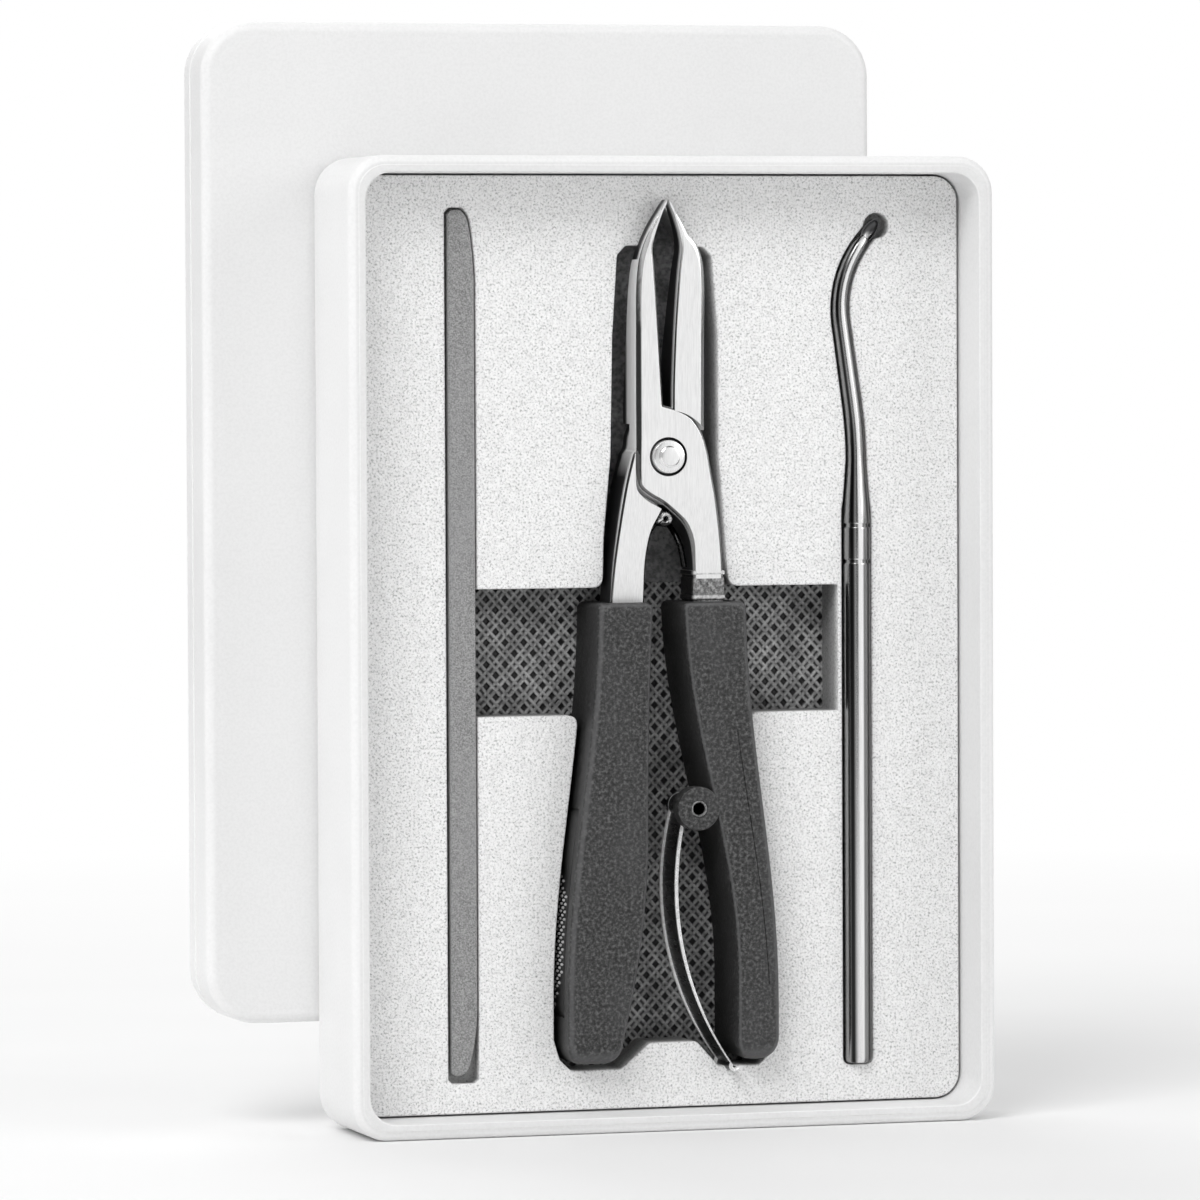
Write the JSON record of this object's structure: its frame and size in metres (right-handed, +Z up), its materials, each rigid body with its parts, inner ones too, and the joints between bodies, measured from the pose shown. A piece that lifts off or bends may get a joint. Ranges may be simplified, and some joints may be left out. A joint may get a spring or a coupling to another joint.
{
  "type": "manicure set case",
  "caption": "White two-part box with a foam insert that holds an eagle-beak nail nipper, a nail file and an ear spoon, its lid standing behind.",
  "frame": {"origin": "middle of the base tray's lower side face, on which the case stands", "axes": "+Z up, -Y out of the tray's open front, +X to the right as seen from the front"},
  "size_m": [0.1166, 0.0343, 0.1653],
  "materials": {
    "case_plastic": "frosted translucent white, fine grain, polished edges",
    "backing_board": "plain grey board",
    "lattice_sheet": "black sheet with an embossed diamond lattice",
    "foam": "white closed-cell foam with a fine grey speckle",
    "nipper_steel": "polished stainless steel, front faces satin",
    "spring_steel": "drawn wire and rolled tube",
    "latch_steel": "polished strip with bright edges",
    "handle_plastic": "black fine spark-eroded texture",
    "grip_rubber": "black with raised round dots",
    "file_steel": "grey fine-cut file face",
    "spoon_steel": "polished stainless steel rod"
  },
  "bodies": {
    "case": {"base_tray": "case_plastic", "backing_pad": "backing_board", "lattice_sheet": "lattice_sheet", "foam_insert": "foam"},
    "lid": {"lid": "case_plastic"},
    "nipper_pivot": {"pivot_rivet": "nipper_steel", "rivet_collar": "nipper_steel", "return_spring": "spring_steel"},
    "right_arm": {"front_lever": "nipper_steel", "right_handle": "handle_plastic", "right_grip_pad": "grip_rubber", "latch_pin": "spring_steel"},
    "left_arm": {"rear_lever": "nipper_steel", "left_handle": "handle_plastic", "left_grip_pad": "grip_rubber"},
    "latch": {"lock_latch": "latch_steel"},
    "file": {"nail_file": "file_steel"},
    "spoon": {"spoon_handle": "spoon_steel", "spoon_collar": "spoon_steel", "spoon_tip": "spoon_steel"}
  },
  "joints": [
    {"name": "lid_lift", "type": "slide", "parent": "case", "child": "lid", "axis": [0, 0, 1], "range_m": [0, 0.15]},
    {"name": "nipper_lift", "type": "slide", "parent": "case", "child": "nipper_pivot", "axis": [0, -1, 0], "range_m": [0, 0.12]},
    {"name": "right_arm_open", "type": "hinge", "parent": "nipper_pivot", "child": "right_arm", "pos_m": [0.0005, -0.001, 0.1003], "axis": [0, -1, 0], "range_deg": [0, 6]},
    {"name": "left_arm_open", "type": "hinge", "parent": "nipper_pivot", "child": "left_arm", "pos_m": [0.0005, -0.001, 0.1003], "axis": [0, 1, 0], "range_deg": [0, 6]},
    {"name": "latch_swing", "type": "hinge", "parent": "right_arm", "child": "latch", "pos_m": [0.0043, -0.001, 0.0478], "axis": [0, 1, 0], "range_deg": [0, 28]},
    {"name": "file_lift", "type": "slide", "parent": "case", "child": "file", "axis": [0, -1, 0], "range_m": [0, 0.08]},
    {"name": "spoon_lift", "type": "slide", "parent": "case", "child": "spoon", "axis": [0, -1, 0], "range_m": [0, 0.08]}
  ],
  "couplings": [
    {"joint": "right_arm_open", "follows": "nipper_lift", "rad_per_m": 0.87},
    {"joint": "left_arm_open", "follows": "nipper_lift", "rad_per_m": 0.87},
    {"joint": "latch_swing", "follows": "nipper_lift", "rad_per_m": 4.05}
  ]
}
